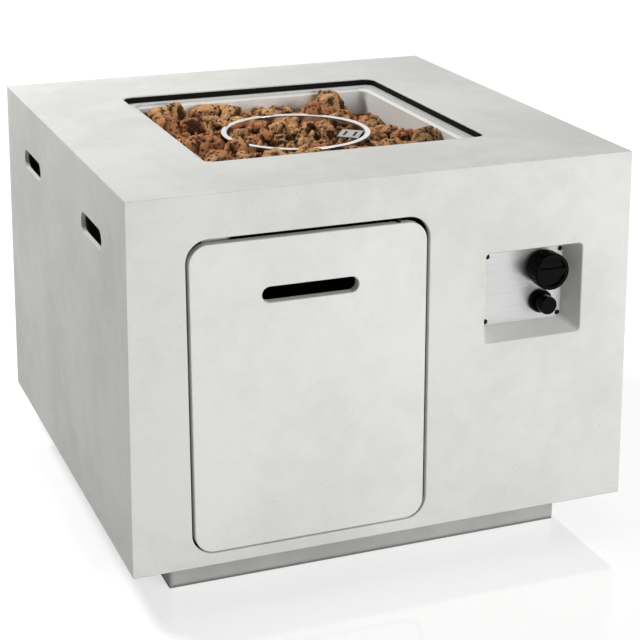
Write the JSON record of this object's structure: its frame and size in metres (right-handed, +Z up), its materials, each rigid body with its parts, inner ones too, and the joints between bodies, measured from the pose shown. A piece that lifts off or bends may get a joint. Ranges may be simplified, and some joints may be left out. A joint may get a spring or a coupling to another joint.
{
  "type": "gas fire pit table",
  "caption": "Square cast fire pit table with a drop-in burner pan of lava stone, a recessed push-and-turn gas knob, a spark button and a pivoting door to the cylinder bay.",
  "frame": {"origin": "on the floor under the middle of the table", "axes": "+X to the right seen from the door's side, +Y to the back, +Z up"},
  "size_m": [0.711, 0.711, 0.559],
  "materials": {
    "cast_concrete": "matt, finely mottled",
    "lava_stone": "rough, porous",
    "satin_steel": "satin",
    "bright_steel": "bright",
    "zinc_steel": "zinc plated",
    "brass": "machined",
    "copper_tube": "drawn",
    "ceramic": "glazed",
    "bush_plastic": "moulded",
    "black_rubber": "matt",
    "black_plastic": "gloss",
    "black_steel": "black, semi-gloss"
  },
  "bodies": {
    "cabinet": {"body_shell": "cast_concrete", "plinth": "cast_concrete", "plinth_bolts": "zinc_steel", "tank_tray": "zinc_steel", "tank_ring": "zinc_steel", "pan_gasket": "black_rubber", "burner_pan": "satin_steel", "burner_bowl": "bright_steel", "ring_burner": "zinc_steel", "burner_nut": "brass", "mixer_tube": "zinc_steel", "orifice_fitting": "brass", "gas_pipe": "copper_tube", "pipe_nuts": "brass", "pilot_hood": "bright_steel", "thermocouple": "copper_tube", "spark_electrode": "ceramic", "thermocouple_lead": "copper_tube", "ignition_lead": "black_rubber", "lava_rocks_outer": "lava_stone", "lava_rocks_inner": "lava_stone", "control_plate": "satin_steel", "plate_screws": "black_steel", "gas_valve": "zinc_steel", "valve_nut": "brass", "valve_inlet": "brass", "igniter_body": "black_plastic", "igniter_nut": "black_plastic", "door_bushes": "bush_plastic", "catch_bracket": "zinc_steel", "door_magnet": "zinc_steel", "catch_screws": "zinc_steel"},
    "door": {"door_panel": "cast_concrete", "door_pins": "black_steel", "door_strike": "zinc_steel"},
    "valve_push": {"valve_plunger": "brass"},
    "knob": {"valve_stem": "zinc_steel", "control_knob": "black_plastic"},
    "igniter": {"igniter_button": "black_plastic"}
  },
  "joints": [
    {"name": "door_swing", "type": "hinge", "parent": "cabinet", "child": "door", "pos_m": [0.0115, -0.34341, 0.29], "axis": [0, 0, 1], "range_deg": [0, 110]},
    {"name": "knob_push", "type": "slide", "parent": "cabinet", "child": "valve_push", "axis": [0, 1, 0], "range_m": [0, 0.003], "stiffness_N_per_m": 1500, "springref_m": -0.004},
    {"name": "knob_turn", "type": "hinge", "parent": "valve_push", "child": "knob", "pos_m": [0.2335, -0.34, 0.403], "axis": [0, -1, 0], "range_deg": [0, 180]},
    {"name": "igniter_press", "type": "slide", "parent": "cabinet", "child": "igniter", "axis": [0, 1, 0], "range_m": [0, 0.005], "stiffness_N_per_m": 800, "springref_m": -0.003}
  ]
}
